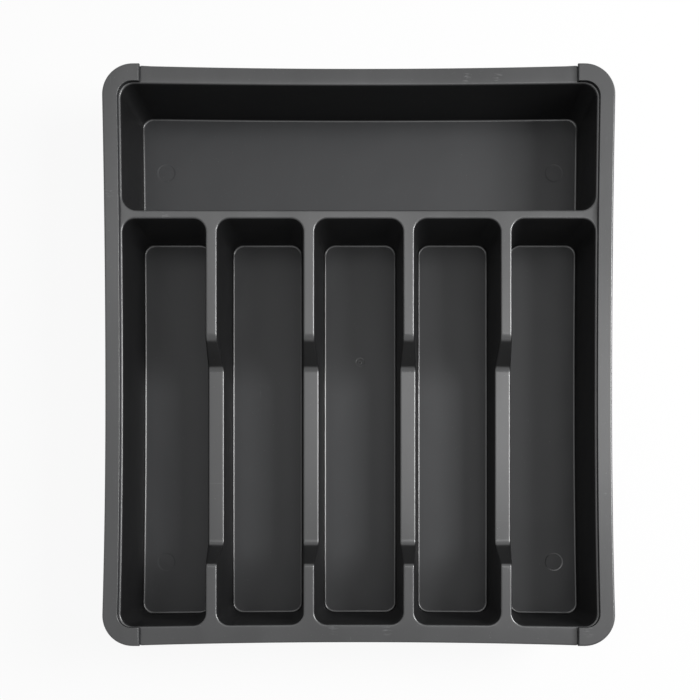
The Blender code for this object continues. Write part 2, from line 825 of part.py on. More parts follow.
def build():
    clear_scene()
    tray_plastic = plastic("charcoal_plastic", (0.045, 0.046, 0.049), 0.42)
    stud_plastic = plastic("black_plastic", (0.02, 0.02, 0.021), 0.5)
    rubber = plastic("black_rubber", (0.012, 0.012, 0.012), 0.85)

    centre_tray(tray_plastic)
    slides = {"left": joint_empty("left_slide", -boss_x), "right": joint_empty("right_slide", boss_x)}
    bpy.context.view_layer.update()

    right = right_tray_solid()
    right.name = "right_side_tray"
    left = mirrored(right, "left_side_tray")
    finish_piece(right, tray_plastic, slides["right"])
    finish_piece(left, tray_plastic, slides["left"])

    for side, end, x, y in boss_places():
        finish_piece(slide_stud(f"slide_stud_{side}_{end}", x, y), stud_plastic)
    for end, x, y in centre_foot_places():
        finish_piece(foot(f"foot_centre_{end}", x, y), rubber)
    for side, sign in (("left", -1), ("right", 1)):
        for end, x, y in side_foot_places():
            finish_piece(foot(f"foot_{side}_{end}", sign * x, y), rubber, slides[side])


build()
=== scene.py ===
# %% [markdown]
# # Expandable drawer organizer
# This lesson dresses a cutlery tray that lies loose in a kitchen drawer. The real one is made of
# three injection mouldings in charcoal plastic. The centre tray has a wide pocket at the back and
# five long ones, and under each of its ends lies a side tray that slides out to fill a wider
# drawer. Sizes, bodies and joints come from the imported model. The solids there have few facets, so
# here each moulding is built again from the same sizes with fine rounding, because on dark satin
# plastic nearly all that the eye sees is the light along its rounded edges.

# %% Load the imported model
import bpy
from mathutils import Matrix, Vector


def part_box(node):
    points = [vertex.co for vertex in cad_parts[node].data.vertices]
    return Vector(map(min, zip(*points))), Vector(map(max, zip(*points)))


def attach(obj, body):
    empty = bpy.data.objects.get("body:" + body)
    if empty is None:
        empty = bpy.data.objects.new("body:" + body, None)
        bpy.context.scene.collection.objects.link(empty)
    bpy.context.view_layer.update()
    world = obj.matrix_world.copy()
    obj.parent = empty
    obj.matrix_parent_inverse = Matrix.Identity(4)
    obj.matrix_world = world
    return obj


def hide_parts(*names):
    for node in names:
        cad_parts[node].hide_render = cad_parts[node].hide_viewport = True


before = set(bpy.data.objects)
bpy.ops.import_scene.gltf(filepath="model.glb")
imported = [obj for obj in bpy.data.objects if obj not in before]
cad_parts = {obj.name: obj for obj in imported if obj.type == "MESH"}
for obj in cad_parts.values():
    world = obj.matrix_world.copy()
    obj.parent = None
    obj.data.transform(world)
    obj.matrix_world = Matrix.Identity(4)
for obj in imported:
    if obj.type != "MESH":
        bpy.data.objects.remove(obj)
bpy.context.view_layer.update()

# %% Blender's modules
import math

import bmesh
import bpy
from mathutils import Vector
from mathutils.geometry import delaunay_2d_cdt

# %% [markdown]
# ## The sizes of the mouldings
# These are the sizes of the CAD source, in metres, but for two that close looks at the photo
# corrected: the corners of the pockets' floors are rounder here, and the caps' inner edge stands
# a little nearer to the pockets, with a smaller round. The levels of both rims and the depth are
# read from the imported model. The rest are the wall thicknesses, drafts and radii that a toolmaker
# would write on the drawing. A pocket's walls lean in towards its floor, so that the moulding comes
# off its core, and every edge is rounded, so that the plastic flows.

# %% Sizes
rim_top, cap_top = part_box("centre_tray")[1].z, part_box("right_side_tray")[1].z
half_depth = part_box("right_side_tray")[1].y
end_rim_width = 0.01105

floor_thickness = wall_thickness = side_floor_thickness = 0.0018
side_wall_thickness = 0.0019
running_gap, rim_gap, seat_gap = 0.0005, 0.0004, 0.0003
pocket_depth = 0.044
pocket_widths = [0.0539, 0.05435, 0.0558, 0.05435, 0.0539]
divider_width, cross_divider_width = 0.00715, 0.0055
wide_pocket_length = 0.0796
pocket_corner_radius, wide_pocket_corner_radius = 0.0081, 0.0092
side_draft, end_draft = 0.0037, 0.0042
floor_fillet, rim_fillet = 0.0015, 0.0013
smallest_corner_radius, floor_corner_radius = 0.0008, 0.0062
low_corner_radius = floor_corner_radius + side_draft + floor_fillet

rim_thickness, rim_edge_round = 0.0022, 0.0012
rim_skirt_depth, rim_skirt_thickness = 0.0024, 0.0014
end_lip_land, end_lip_round = 0.0004, 0.0005
flange_end_radius, flange_root_radius, flange_root_land = 0.0020, 0.0008, 0.0016
skirt_run_out, flange_overlap = 0.0060, 0.0011
front_lip_width, back_lip_width, slide_lip_thickness = 0.0038, 0.00335, 0.0016
side_bow, back_bow, front_bow, bow_margin = 0.0025, 0.0019, 0.0020, 0.0335
side_bow_middle = -0.030

dip_back_distance, dip_front_distance, dip_depth = 0.0754, 0.0389, 0.0195
dip_back_slope, dip_front_slope = 0.0160, 0.0125
dip_back_rim_round, dip_front_rim_round, dip_foot_round = 0.0080, 0.0035, 0.0060

outline_corner_radius = 0.0198
cap_thickness, cap_edge_round, cap_end_round = 0.0028, 0.0013, 0.0011
cap_skirt_depth, cap_skirt_thickness = 0.0045, 0.0018
cap_setback_end, cap_setback_side, cap_opening_round = 0.0014, 0.0005, 0.0005
side_inner_edge, slot_end_land, side_floor_fillet = 0.018, 0.0051, 0.0032
boss_inset_x, boss_inset_front, boss_inset_back, boss_radius = 0.01995, 0.0392, 0.04085, 0.0040
foot_radius, foot_height, foot_recess, foot_edge_round = 0.006, 0.0028, 0.0002, 0.0006
foot_cup_wall, foot_cup_depth = 0.0014, 0.0009
foot_inset_x, foot_inset_y, centre_foot_inset_y = 0.0185, 0.0165, 0.0485
stud_shank_radius, stud_grip, stud_play = 0.0020, 0.0030, 0.0005
stud_head_radius, stud_head_thickness, stud_head_round = 0.0066, 0.0013, 0.0005

# %% Facets of the fine mouldings
corner_steps, outline_corner_steps = 10, 20
fillet_steps, outer_fillet_steps = 6, 4
dip_round_steps, bow_marks, round_sides = 8, 24, 48
flare_end_angle = math.radians(78)
overrun, merge_distance = 0.010, 0.0000001

# %% [markdown]
# ## Levels and places
# The tray stands on its feet, so every level is a sum from the drawer's floor up, and every place
# across the tray is a sum from its middle out. Written so, the pockets, the slots and the gaps keep
# fitting each other.

# %% Levels and places
side_floor_bottom = foot_height - foot_recess
side_floor_top = side_floor_bottom + side_floor_thickness
foot_seat = side_floor_bottom + foot_recess
floor_bottom = side_floor_top + running_gap
floor_top = floor_bottom + floor_thickness
rim_bottom = rim_top - rim_thickness
cap_bottom = cap_top - cap_thickness
slide_lip_top = rim_bottom - rim_gap

end_lip_width = rim_fillet + end_lip_land + end_lip_round
end_lip_share = end_lip_round / rim_edge_round
wall_inset = end_lip_width + running_gap
wall_band = wall_inset + side_wall_thickness
front_rim_width = wall_band + front_lip_width + rim_gap + rim_skirt_thickness + front_bow
back_rim_width = wall_band + back_lip_width + rim_gap + rim_skirt_thickness + back_bow

pockets_half_width = (sum(pocket_widths) + 4 * divider_width) / 2
half_width = pockets_half_width + end_rim_width
columns_front = -half_depth + front_rim_width
wide_back = half_depth - back_rim_width
wide_front = wide_back - wide_pocket_length
columns_back = wide_front - cross_divider_width
dip_back = columns_back - dip_back_distance
dip_front = columns_front + dip_front_distance
corner_start = pockets_half_width - max(pocket_corner_radius, wide_pocket_corner_radius)
flange_end = corner_start - flange_root_radius - flange_root_land
cap_end = flange_end - flange_overlap
high_wall_start = flange_end + flange_root_radius + rim_gap
boss_x = pockets_half_width - boss_inset_x
boss_front = columns_front + boss_inset_front
boss_back = wide_back - boss_inset_back
slide_travel = boss_x - boss_radius - rim_gap - slot_end_land - side_inner_edge
print("slide travel in mm:", round(1000 * slide_travel, 1))

# %% [markdown]
# ## Outlines that can shrink
# A drafted pocket is a stack of rounded rectangles, each a little smaller than the one above, and
# their corners turn about fixed centres. A list of stations holds such an outline: a centre, a
# direction and a reach. One ring of points comes from each height, and rings with the same
# stations can always be joined face by face. Extra stations lie where the long edges bow in, which
# on the real tray is the plastic shrinking as it cools.

# %% Outlines
def between(start, end, count):
    """The places that split a length into equal parts, without its ends."""
    return [start + (end - start) * step / count for step in range(1, count)]


def arc(start_angle, end_angle, steps):
    return [start_angle + (end_angle - start_angle) * step / steps for step in range(steps + 1)]


class Outline:
    """A rounded rectangle seen from above, which shrinks or grows about its corner centres."""

    def __init__(self, left, right, front, back, radius, steps, marks_x=(), marks_y=(),
                 back_radius=None):
        near, far = radius, back_radius or radius
        south, north = front + near, back - far
        along_x = [x for x in marks_x if left + max(near, far) < x < right - max(near, far)]
        along_y = [y for y in marks_y if south < y < north]
        self.stations = []
        self.add_corner(left + near, south, math.pi, near, steps)
        self.stations += [(x, south, 0.0, -1.0, near) for x in along_x]
        self.add_corner(right - near, south, 1.5 * math.pi, near, steps)
        self.stations += [(right - near, y, 1.0, 0.0, near) for y in along_y]
        self.add_corner(right - far, north, 0.0, far, steps)
        self.stations += [(x, north, 0.0, 1.0, far) for x in reversed(along_x)]
        self.add_corner(left + far, north, 0.5 * math.pi, far, steps)
        self.stations += [(left + near, y, -1.0, 0.0, near) for y in reversed(along_y)]

    def add_corner(self, x, y, first_angle, reach, steps):
        for angle in arc(first_angle, first_angle + 0.5 * math.pi, steps):
            self.stations.append((x, y, math.cos(angle), math.sin(angle), reach))

    def point(self, station, inset_x, inset_y):
        x, y, out_x, out_y, reach = station
        reach_x = max(reach - inset_x, smallest_corner_radius)
        reach_y = max(reach - inset_y, smallest_corner_radius)
        return x + reach_x * out_x, y + reach_y * out_y

    def ring(self, inset_x, inset_y, z, draw_in):
        points = [self.point(station, inset_x, inset_y) for station in self.stations]
        return [(*draw_in(x, y), z) for x, y in points]


def draw_in_sides(x, y):
    """Both ends of the tray bow in a little between its corners."""
    start = pockets_half_width - pocket_widths[0]
    share = (abs(x) - start) / (half_width - start)
    if share <= 0:
        return x, y
    reach = half_depth - side_bow_middle if y > side_bow_middle else half_depth + side_bow_middle
    bow = side_bow * share * max(0.0, 1 - ((y - side_bow_middle) / reach) ** 2)
    return x - math.copysign(bow, x), y


def draw_in_all(x, y):
    """The centre tray's front and back rims bow in as well, between the end caps."""
    share = (abs(y) - (half_depth - bow_margin)) / bow_margin
    if share > 0:
        amount = back_bow if y > 0 else front_bow
        bow = amount * share * max(0.0, 1 - (x / flange_end) ** 2)
        y -= math.copysign(bow, y)
    return draw_in_sides(x, y)


# %% [markdown]
# ## Joining rings and covering flats
# Two rings are joined by a band of faces. A flat with holes in it, such as the rim round the six
# pockets, can't be one face, so its loops go through a constrained Delaunay triangulation, which
# keeps every given edge and adds only the diagonals. That makes one closed skin straight away. Cut
# with Booleans instead, six drafted pockets with rounded mouths leave open edges and slivers.

# %% Rings and flats
def add_ring(shape, points):
    return [shape.verts.new(point) for point in points]


def bridge(shape, first, second):
    """Faces between two rings; where both share a vertex the face is a triangle or is left out."""
    for index in range(len(first)):
        following = (index + 1) % len(first)
        corners = []
        for vertex in (first[index], first[following], second[following], second[index]):
            if vertex not in corners:
                corners.append(vertex)
        if len(corners) > 2:
            shape.faces.new(corners)


def stack(shape, rings):
    """Bridge a list of rings, given as points or as vertices, and give back their vertices."""
    rows = [ring if isinstance(ring[0], bmesh.types.BMVert) else add_ring(shape, ring) for ring in rings]
    for lower, upper in zip(rows, rows[1:]):
        bridge(shape, lower, upper)
    return rows


def encloses(loop, x, y):
    inside = False
    for one, other in zip(loop, loop[1:] + loop[:1]):
        if (one.co.y > y) != (other.co.y > y):
            crossing = one.co.x + (y - one.co.y) * (other.co.x - one.co.x) / (other.co.y - one.co.y)
            inside ^= x < crossing
    return inside


def fill(shape, outer, holes, ties=(), creases=()):
    """Cover the flat between an outer loop and its holes, along the given ties and crease lines."""
    loops = [outer] + holes
    vertices = [vertex for line in loops + list(creases) for vertex in line]
    place = {vertex: index for index, vertex in enumerate(vertices)}
    edges = [(place[one], place[other]) for loop in loops for one, other in zip(loop, loop[1:] + loop[:1])]
    edges += [(place[one], place[other]) for line in creases for one, other in zip(line, line[1:])]
    edges += [(place[one], place[other]) for one, other in ties]
    plan = [vertex.co.to_2d() for vertex in vertices]
    found = delaunay_2d_cdt(plan, edges, [], 0, merge_distance)
    for face in found[2]:
        corners = [vertices[found[3][index][0]] for index in face]
        x = sum(vertex.co.x for vertex in corners) / len(corners)
        y = sum(vertex.co.y for vertex in corners) / len(corners)
        if encloses(outer, x, y) and not any(encloses(hole, x, y) for hole in holes):
            shape.faces.new(corners)


def circle(x, y, radius, z):
    angles = [2 * math.pi * side / round_sides for side in range(round_sides)]
    return [(x + radius * math.cos(angle), y + radius * math.sin(angle), z) for angle in angles]


def stand(shape, x, y, profile):
    """Turn a profile of (radius, z) about x, y, close its far end, and give back its first ring."""
    rows = stack(shape, [circle(x, y, radius, z) for radius, z in profile])
    fill(shape, rows[-1], [])
    return rows[0]


# %% [markdown]
# ## Smooth rounding beside flat faces
# A moulding has large flats and small radii. Plain smooth shading bends the light far out over the
# flats, so each piece also gets the Weighted Normal modifier: large faces keep their own direction
# and only the radii turn. Edges above 35 degrees stay sharp, as at a parting line.

# %% Turn a shape into a piece
def new_piece(name, mesh):
    made = bpy.data.objects.new(name, mesh)
    bpy.context.scene.collection.objects.link(made)
    return made


def finish_shape(shape, name):
    bmesh.ops.recalc_face_normals(shape, faces=shape.faces)
    mesh = bpy.data.meshes.new(name)
    shape.to_mesh(mesh)
    shape.free()
    return new_piece(name, mesh)


def smooth(piece):
    piece.data.shade_smooth()
    piece.data.set_sharp_from_angle(angle=math.radians(35))
    weighted = piece.modifiers.new("keep flats flat", "WEIGHTED_NORMAL")
    weighted.mode, weighted.weight, weighted.keep_sharp = "FACE_AREA", 100, True
    print(piece.name, len(piece.data.polygons), "faces")
    return piece


def fit(piece, body, finish, *nodes):
    """Let a piece ride on its body and stand for its CAD nodes; the finish it is given is not used."""
    smooth(piece)
    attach(piece, body)
    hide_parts(*nodes)
    return piece


# %% [markdown]
# ## The lowered dividers
# The four long dividers drop in their middle, so that fingers reach the cutlery from the side. The
# line of that dip is drawn once, with a round at each bend, and both the wall's face and the
# underside of the hollow divider follow it.

# %% The line of a dip
def rounded_path(corners, radii, steps):
    """An open path whose inner corners are replaced by arcs."""
    path = [corners[0]]
    for before, corner, after, radius in zip(corners, corners[1:], corners[2:], radii):
        inward = math.atan2(before[1] - corner[1], before[0] - corner[0])
        outward = math.atan2(after[1] - corner[1], after[0] - corner[0])
        opening = (outward - inward + math.pi) % (2 * math.pi) - math.pi
        middle = inward + opening / 2
        reach = radius / abs(math.sin(opening / 2))
        centre = (corner[0] + reach * math.cos(middle), corner[1] + reach * math.sin(middle))
        sweep = math.copysign(math.pi - abs(opening), opening)
        first = middle + math.pi + sweep / 2
        for angle in arc(first, first - sweep, steps):
            path.append((centre[0] + radius * math.cos(angle), centre[1] + radius * math.sin(angle)))
    path.append(corners[-1])
    return path


def dip_line():
    """The top of a long divider past its dip, front to back, as (y, z)."""
    run_out = 2 * dip_back_rim_round
    low = rim_top - dip_depth
    corners = [(dip_front - run_out, rim_top), (dip_front, rim_top),
               (dip_front + dip_front_slope, low), (dip_back - dip_back_slope, low),
               (dip_back, rim_top), (dip_back + run_out, rim_top)]
    radii = [dip_front_rim_round, dip_foot_round, dip_foot_round, dip_back_rim_round]
    return rounded_path(corners, radii, dip_round_steps)[1:-1]


def dip_underside():
    """The same line a rim's thickness further in."""
    line = dip_line()
    shifted = [(line[0][0], rim_bottom)]
    for before, point, after in zip(line, line[1:], line[2:]):
        run, rise = after[0] - before[0], after[1] - before[1]
        length = math.hypot(run, rise)
        shifted.append((point[0] + rim_thickness * rise / length,
                        point[1] - rim_thickness * run / length))
    return shifted + [(line[-1][0], rim_bottom)]


def height_on(line, y, level):
    for (start, low), (end, high) in zip(line, line[1:]):
        if start <= y <= end:
            return low + (high - low) * (y - start) / (end - start)
    return level


# %% [markdown]
# ## A pocket
# Each pocket knows its plan, which of its long walls dip and whether it reaches the bowed outline.
# From that come two skins: the one inside, with floor, floor fillet, drafted wall and flared mouth,
# and the one outside, a wall's thickness away.

# %% Pockets
def draft_at(z):
    """How far a pocket's long walls and end walls have come in at this height."""
    share = (rim_top - z) / pocket_depth
    return side_draft * share, end_draft * share


class Pocket:
    def __init__(self, left, right, front, back, radius, dips_left, dips_right, bows):
        self.left, self.right, self.front, self.back, self.radius = left, right, front, back, radius
        self.dips_left, self.dips_right, self.bows = dips_left, dips_right, bows

    def plan(self, line, radius):
        marks_x = between(-flange_end, flange_end, bow_marks) if self.bows else []
        marks_y = between(-half_depth, half_depth, bow_marks) if self.bows else []
        if self.dips_left or self.dips_right:
            marks_y = sorted(marks_y + [y for y, z in line])
        marks_x = [x for x in marks_x if self.left + low_corner_radius < x < self.right - low_corner_radius]
        marks_y = [y for y in marks_y if self.front + low_corner_radius < y < self.back - low_corner_radius]
        return Outline(self.left, self.right, self.front, self.back, radius, corner_steps, marks_x, marks_y)

    def height(self, line, level, x, y):
        dips = self.dips_left if x < (self.left + self.right) / 2 else self.dips_right
        return height_on(line, y, level) if dips else level

    def ring(self, line, level, drop, offset):
        """One ring of a wall's face: a drop below its local top, set back by the offset."""
        plan = self.plan(line, self.radius)
        points = []
        for station in plan.stations:
            z = self.height(line, level, *plan.point(station, 0.0, 0.0)) - drop
            draft_x, draft_y = draft_at(z)
            x, y = plan.point(station, draft_x + offset, draft_y + offset)
            points.append((*draw_in_all(x, y), z))
        return points

    def flat_ring(self, line, z, offset):
        """One level ring of a wall's face."""
        draft_x, draft_y = draft_at(z)
        return self.plan(line, low_corner_radius).ring(draft_x + offset, draft_y + offset, z, draw_in_all)

    def holds(self, x, y):
        return self.left < x < self.right and self.front < y < self.back


def pockets():
    """The wide pocket at the back, and the five long ones from left to right."""
    found = [Pocket(-pockets_half_width, pockets_half_width, wide_front, wide_back,
                    wide_pocket_corner_radius, False, False, True)]
    left = -pockets_half_width
    for number, width in enumerate(pocket_widths):
        first, last = number == 0, number == len(pocket_widths) - 1
        found.append(Pocket(left, left + width, columns_front, columns_back, pocket_corner_radius,
                            not first, not last, first or last))
        left += width + divider_width
    return found


# %% [markdown]
# ## Marks that moulding leaves
# Thick spots under the floor cool last and pull its surface down. So a faint dish shows over each
# of the four slide bosses. In the middle of the tray lies the gate, where the plastic came in: a
# small dish with the stub that was left when the runner broke off. They are real dents in the mesh,
# a tenth of a millimetre deep, because the satin floor turns even that into an arc of light.

# %% Sink marks and the gate
sink_radius = 0.0062
sink_depths = {("left", "front"): 0.00011, ("left", "back"): 0.00015,
               ("right", "front"): 0.00026, ("right", "back"): 0.00013}
gate_radius, gate_depth, stub_radius, stub_height = 0.0033, 0.00042, 0.0006, 0.00030


def sink_profile(depth):
    """From the floor into a dish over a boss, as (radius, z)."""
    return [(sink_radius * share, floor_top - depth * sunk)
            for share, sunk in ((1.0, 0.0), (0.95, 0.25), (0.89, 0.8), (0.82, 1.0), (0.5, 0.85), (0.1, 0.7))]


def gate_profile():
    """From the floor into the gate's dish and up over its stub, as (radius, z)."""
    bottom = floor_top - gate_depth
    return [(gate_radius, floor_top), (gate_radius * 0.93, floor_top - gate_depth * 0.3),
            (gate_radius * 0.8, bottom), (stub_radius * 1.3, bottom),
            (stub_radius, bottom + stub_height * 0.4), (stub_radius * 0.8, bottom + stub_height)]


def boss_places():
    return [(side_name, end_name, side * boss_x, y)
            for side_name, side in (("left", -1), ("right", 1))
            for end_name, y in (("front", boss_front), ("back", boss_back))]


def floor_marks():
    marks = [(x, y, sink_profile(sink_depths[side, end])) for side, end, x, y in boss_places()]
    return marks + [(0.0, 0.0029, gate_profile())]


# %% [markdown]
# ## The rim
# The rim's outline is drawn for a quarter and repeated. It runs wide along the front and back,
# steps in where the end caps cover it, and follows the outer pockets as a narrow lip. Its outer
# part slopes down very slightly, so a fine crease runs along the back and the front.

# %% The rim's outline
rim_slope_drop = 0.00034
back_crease_distance, front_crease_distance = 0.0047, 0.0036


def rim_quadrant(edge, pocket_edge, pocket_radius, inset):
    """A quarter of the outline, from the middle of the front or back to the end's middle.

    Points are (x, outward, share): the share says how far the skirt is let down there.
    """
    lip = pocket_edge + end_lip_width
    lip_right = pockets_half_width + end_lip_width
    lip_radius = pocket_radius + end_lip_width
    skirt_end = flange_end - flange_end_radius
    along = [x for x in between(-flange_end, flange_end, bow_marks) if 0 < x < skirt_end - skirt_run_out]
    points = [(x, edge - inset, 1.0) for x in along + [skirt_end - skirt_run_out]]
    centre = (skirt_end, edge - flange_end_radius)
    for angle in arc(0.5 * math.pi, 0.0, outer_fillet_steps):
        reach = flange_end_radius - inset
        points.append((centre[0] + reach * math.cos(angle), centre[1] + reach * math.sin(angle), 0.0))
    lip_inset = inset * end_lip_share
    centre = (flange_end + flange_root_radius, lip + flange_root_radius)
    for angle in arc(math.pi, 1.5 * math.pi, outer_fillet_steps):
        points.append((centre[0] + (flange_root_radius + inset) * math.cos(angle),
                       centre[1] + (flange_root_radius + lip_inset) * math.sin(angle), 0.0))
    centre = (lip_right - lip_radius, lip - lip_radius)
    for angle in arc(0.5 * math.pi, 0.0, corner_steps):
        reach = lip_radius - lip_inset
        points.append((centre[0] + reach * math.cos(angle), centre[1] + reach * math.sin(angle), 0.0))
    side = [y for y in between(-half_depth, half_depth, bow_marks) if 0 < y < centre[1]]
    return points + [(lip_right - lip_inset, y, 0.0) for y in reversed(side)]


def rim_outline(inset):
    """The whole outline of the rim, once round, as (x, y, skirt share)."""
    front = rim_quadrant(half_depth, -columns_front, pocket_corner_radius, inset)
    back = rim_quadrant(half_depth, wide_back, wide_pocket_corner_radius, inset)
    end = pockets_half_width + end_lip_width - inset * end_lip_share
    outline = [(0.0, inset - half_depth, 1.0)]
    outline += [(x, -out, share) for x, out, share in front] + [(end, 0.0, 0.0)]
    outline += [(x, out, share) for x, out, share in reversed(back)]
    outline += [(0.0, half_depth - inset, 1.0)]
    outline += [(-x, out, share) for x, out, share in back] + [(-end, 0.0, 0.0)]
    outline += [(-x, -out, share) for x, out, share in reversed(front)]
    return outline


def rim_edge(shape):
    """The rim's rounded outer edge with its skirt; gives back its top ring and its inner ring."""
    rings = []
    for angle in arc(0.5 * math.pi, 0.0, fillet_steps):
        inset = rim_edge_round * (1 - math.cos(angle))
        z = rim_top - rim_edge_round * (1 - math.sin(angle))
        rings.append([(*draw_in_all(x, y), z - share * rim_slope_drop) for x, y, share in rim_outline(inset)])
    for inset in (0.0, rim_skirt_thickness):
        rings.append([(*draw_in_all(x, y), rim_bottom - share * rim_skirt_depth)
                      for x, y, share in rim_outline(inset)])
    rows = stack(shape, rings)
    inner = [shape.verts.new((vertex.co.x, vertex.co.y, rim_bottom)) if share else vertex
             for vertex, (x, y, share) in zip(rows[-1], rim_outline(rim_skirt_thickness))]
    bridge(shape, rows[-1], inner)
    return rows[0], inner


def crease(shape, y):
    """A line along the rim, at its full height, where its outer part starts to slope."""
    end = flange_end - flange_end_radius - skirt_run_out
    places = [-end] + [x for x in between(-flange_end, flange_end, bow_marks) if abs(x) < end] + [end]
    return [shape.verts.new((*draw_in_all(x, y), rim_top)) for x in places]


# %% [markdown]
# ## The centre tray
# All the parts above meet in one closed skin: the rim's edge, six inner faces with their marks, six
# outer faces with the bosses and foot cups below them, and the two flats that join them, above and
# below. The ties keep the dips crisp from wall to wall.

# %% Bosses and foot cups under the floor
def boss_profile():
    low = side_floor_bottom - seat_gap / 2
    hole = stud_shank_radius + seat_gap
    top = side_floor_bottom + stud_grip + seat_gap
    return [(boss_radius, floor_bottom), (boss_radius, low), (hole, low), (hole, top)]


def cup_profile(root):
    """A shallow ring that holds a rubber foot, from the floor above down and back in."""
    inner = foot_radius + seat_gap
    outer = inner + foot_cup_wall
    bottom = side_floor_bottom - foot_cup_depth
    return [(outer, root), (outer, bottom), (inner, bottom), (inner, foot_seat)]


def centre_foot_places():
    return [("front", 0.0, columns_front + centre_foot_inset_y),
            ("back", 0.0, wide_back - centre_foot_inset_y)]


# %% Faces of a pocket
def inner_face(shape, pocket, marks):
    """Floor, floor fillet, drafted wall and flared top edge; gives back the mouth."""
    line = dip_line()
    rings = []
    for angle in arc(0.0, 0.5 * math.pi, fillet_steps):
        rings.append(pocket.flat_ring(line, floor_top + floor_fillet * (1 - math.cos(angle)),
                                      floor_fillet * (1 - math.sin(angle))))
    for angle in arc(0.0, 0.5 * math.pi, fillet_steps):
        rings.append(pocket.ring(line, rim_top, rim_fillet * (1 - math.sin(angle)),
                                 -rim_fillet * (1 - math.cos(angle))))
    rows = stack(shape, rings)
    holes = [stand(shape, x, y, profile) for x, y, profile in marks if pocket.holds(x, y)]
    fill(shape, rows[0], holes)
    return rows[-1]


def outer_face(shape, pocket, below):
    """The outside of the wall and floor, with what stands on it; gives back its top ring."""
    line = dip_underside()
    radius = floor_fillet + wall_thickness
    rings = []
    for angle in arc(0.0, 0.5 * math.pi, outer_fillet_steps):
        rings.append(pocket.flat_ring(line, floor_bottom + radius * (1 - math.cos(angle)),
                                      radius * (1 - math.sin(angle)) - wall_thickness))
    rings.append(pocket.ring(line, rim_bottom, 0.0, -wall_thickness))
    rows = stack(shape, rings)
    holes = [stand(shape, x, y, profile) for x, y, profile in below if pocket.holds(x, y)]
    fill(shape, rows[0], holes)
    return rows[-1]


def ties_across(mouths, line):
    """Pairs of vertices that face each other over a divider at each point of its dip."""
    found = []
    for left, right in zip(mouths[1:], mouths[2:]):
        middle = (max(v.co.x for v in left) + min(v.co.x for v in right)) / 2
        for y, z in line:
            found.append([min((v for v in loop if abs(v.co.y - y) < merge_distance * 100),
                              key=lambda v: abs(v.co.x - middle)) for loop in (left, right)])
    return found


# %% Build the centre tray
def centre_tray():
    shape = bmesh.new()
    rim, under_rim = rim_edge(shape)
    below = [(x, y, boss_profile()) for side, end, x, y in boss_places()]
    below += [(x, y, cup_profile(floor_bottom)) for end, x, y in centre_foot_places()]
    mouths = [inner_face(shape, pocket, floor_marks()) for pocket in pockets()]
    roots = [outer_face(shape, pocket, below) for pocket in pockets()]
    creases = [crease(shape, wide_back + back_crease_distance),
               crease(shape, columns_front - front_crease_distance)]
    fill(shape, rim, mouths, ties_across(mouths, dip_line()), creases)
    fill(shape, under_rim, roots, ties_across(roots, dip_underside()))
    return finish_shape(shape, "centre_moulding")


centre = fit(centre_tray(), "centre", "tray_plastic", "centre_tray")

# %% [markdown]
# ## The side trays
# A side tray is a drafted box, open above and towards the middle, with a raised cap round its outer
# end that covers the centre tray's edge. Its walls are low where the centre tray's rim has to pass,
# with narrow lips, and two long slots in its floor take the bosses. These few simple solids do join
# cleanly with Booleans, so it is built that way on the right and mirrored to the left.

# %% Simple solids
def loft(name, rings):
    """Bridge rings of equal length from the bottom up and close both ends."""
    shape = bmesh.new()
    rows = stack(shape, rings)
    shape.faces.new(list(reversed(rows[0])))
    shape.faces.new(rows[-1])
    bmesh.ops.triangulate(shape, faces=[face for face in shape.faces if len(face.verts) > 4])
    return finish_shape(shape, name)


def extrude_profile(name, profile, axis, start, end):
    """A closed profile carried straight along X (profile in Y, Z) or along Y (profile in X, Z)."""
    if axis == "X":
        return loft(name, [[(place, across, z) for across, z in profile] for place in (start, end)])
    return loft(name, [[(across, place, z) for across, z in profile] for place in (start, end)])


def box(name, low, high):
    profile = [(low[1], low[2]), (high[1], low[2]), (high[1], high[2]), (low[1], high[2])]
    return extrude_profile(name, profile, "X", low[0], high[0])


def turned(name, profile, x, y):
    return loft(name, [circle(x, y, radius, z) for radius, z in profile])


def combine(target, others, operation):
    """Join or cut with the other solids, then drop them."""
    for other in others:
        modifier = target.modifiers.new(operation.lower(), "BOOLEAN")
        modifier.operation, modifier.solver, modifier.object = operation, "MANIFOLD", other
    bpy.context.view_layer.update()
    evaluated = target.evaluated_get(bpy.context.evaluated_depsgraph_get())
    result = bpy.data.meshes.new_from_object(evaluated)
    target.modifiers.clear()
    target.data = result
    for other in others:
        bpy.data.objects.remove(other, do_unlink=True)
    return target


# %% Walls and floor of a side tray
def side_wall_rings(setback, levels):
    """Rings of one face of the wall: levels are (z, extra inset of the floor fillet)."""
    plan = Outline(-side_inner_edge - overrun, pockets_half_width + wall_inset, columns_front - wall_inset,
                   wide_back + wall_inset, pocket_corner_radius + wall_inset, corner_steps,
                   marks_y=between(-half_depth, half_depth, bow_marks),
                   back_radius=wide_pocket_corner_radius + wall_inset)
    rings = []
    for z, extra in levels:
        draft_x, draft_y = draft_at(z)
        rings.append(plan.ring(draft_x + extra - setback, draft_y + extra - setback, z, draw_in_sides))
    return rings


def fillet_levels(bottom, radius, top):
    levels = [(bottom + radius * (1 - math.cos(angle)), radius * (1 - math.sin(angle)))
              for angle in arc(0.0, 0.5 * math.pi, fillet_steps)]
    return levels + [(top, 0.0)]


def side_tray_walls():
    outside = fillet_levels(side_floor_bottom, side_floor_fillet + side_wall_thickness,
                            cap_bottom + cap_thickness / 2)
    inside = fillet_levels(side_floor_top, side_floor_fillet, cap_top + overrun)
    walls = loft("side_walls", side_wall_rings(side_wall_thickness, outside))
    hollow = loft("side_hollow", side_wall_rings(0.0, inside))
    far = half_depth + overrun
    over = box("low_part", (-half_width, -far, slide_lip_top), (high_wall_start, far, cap_top + overrun))
    return combine(walls, [hollow, over], "DIFFERENCE")


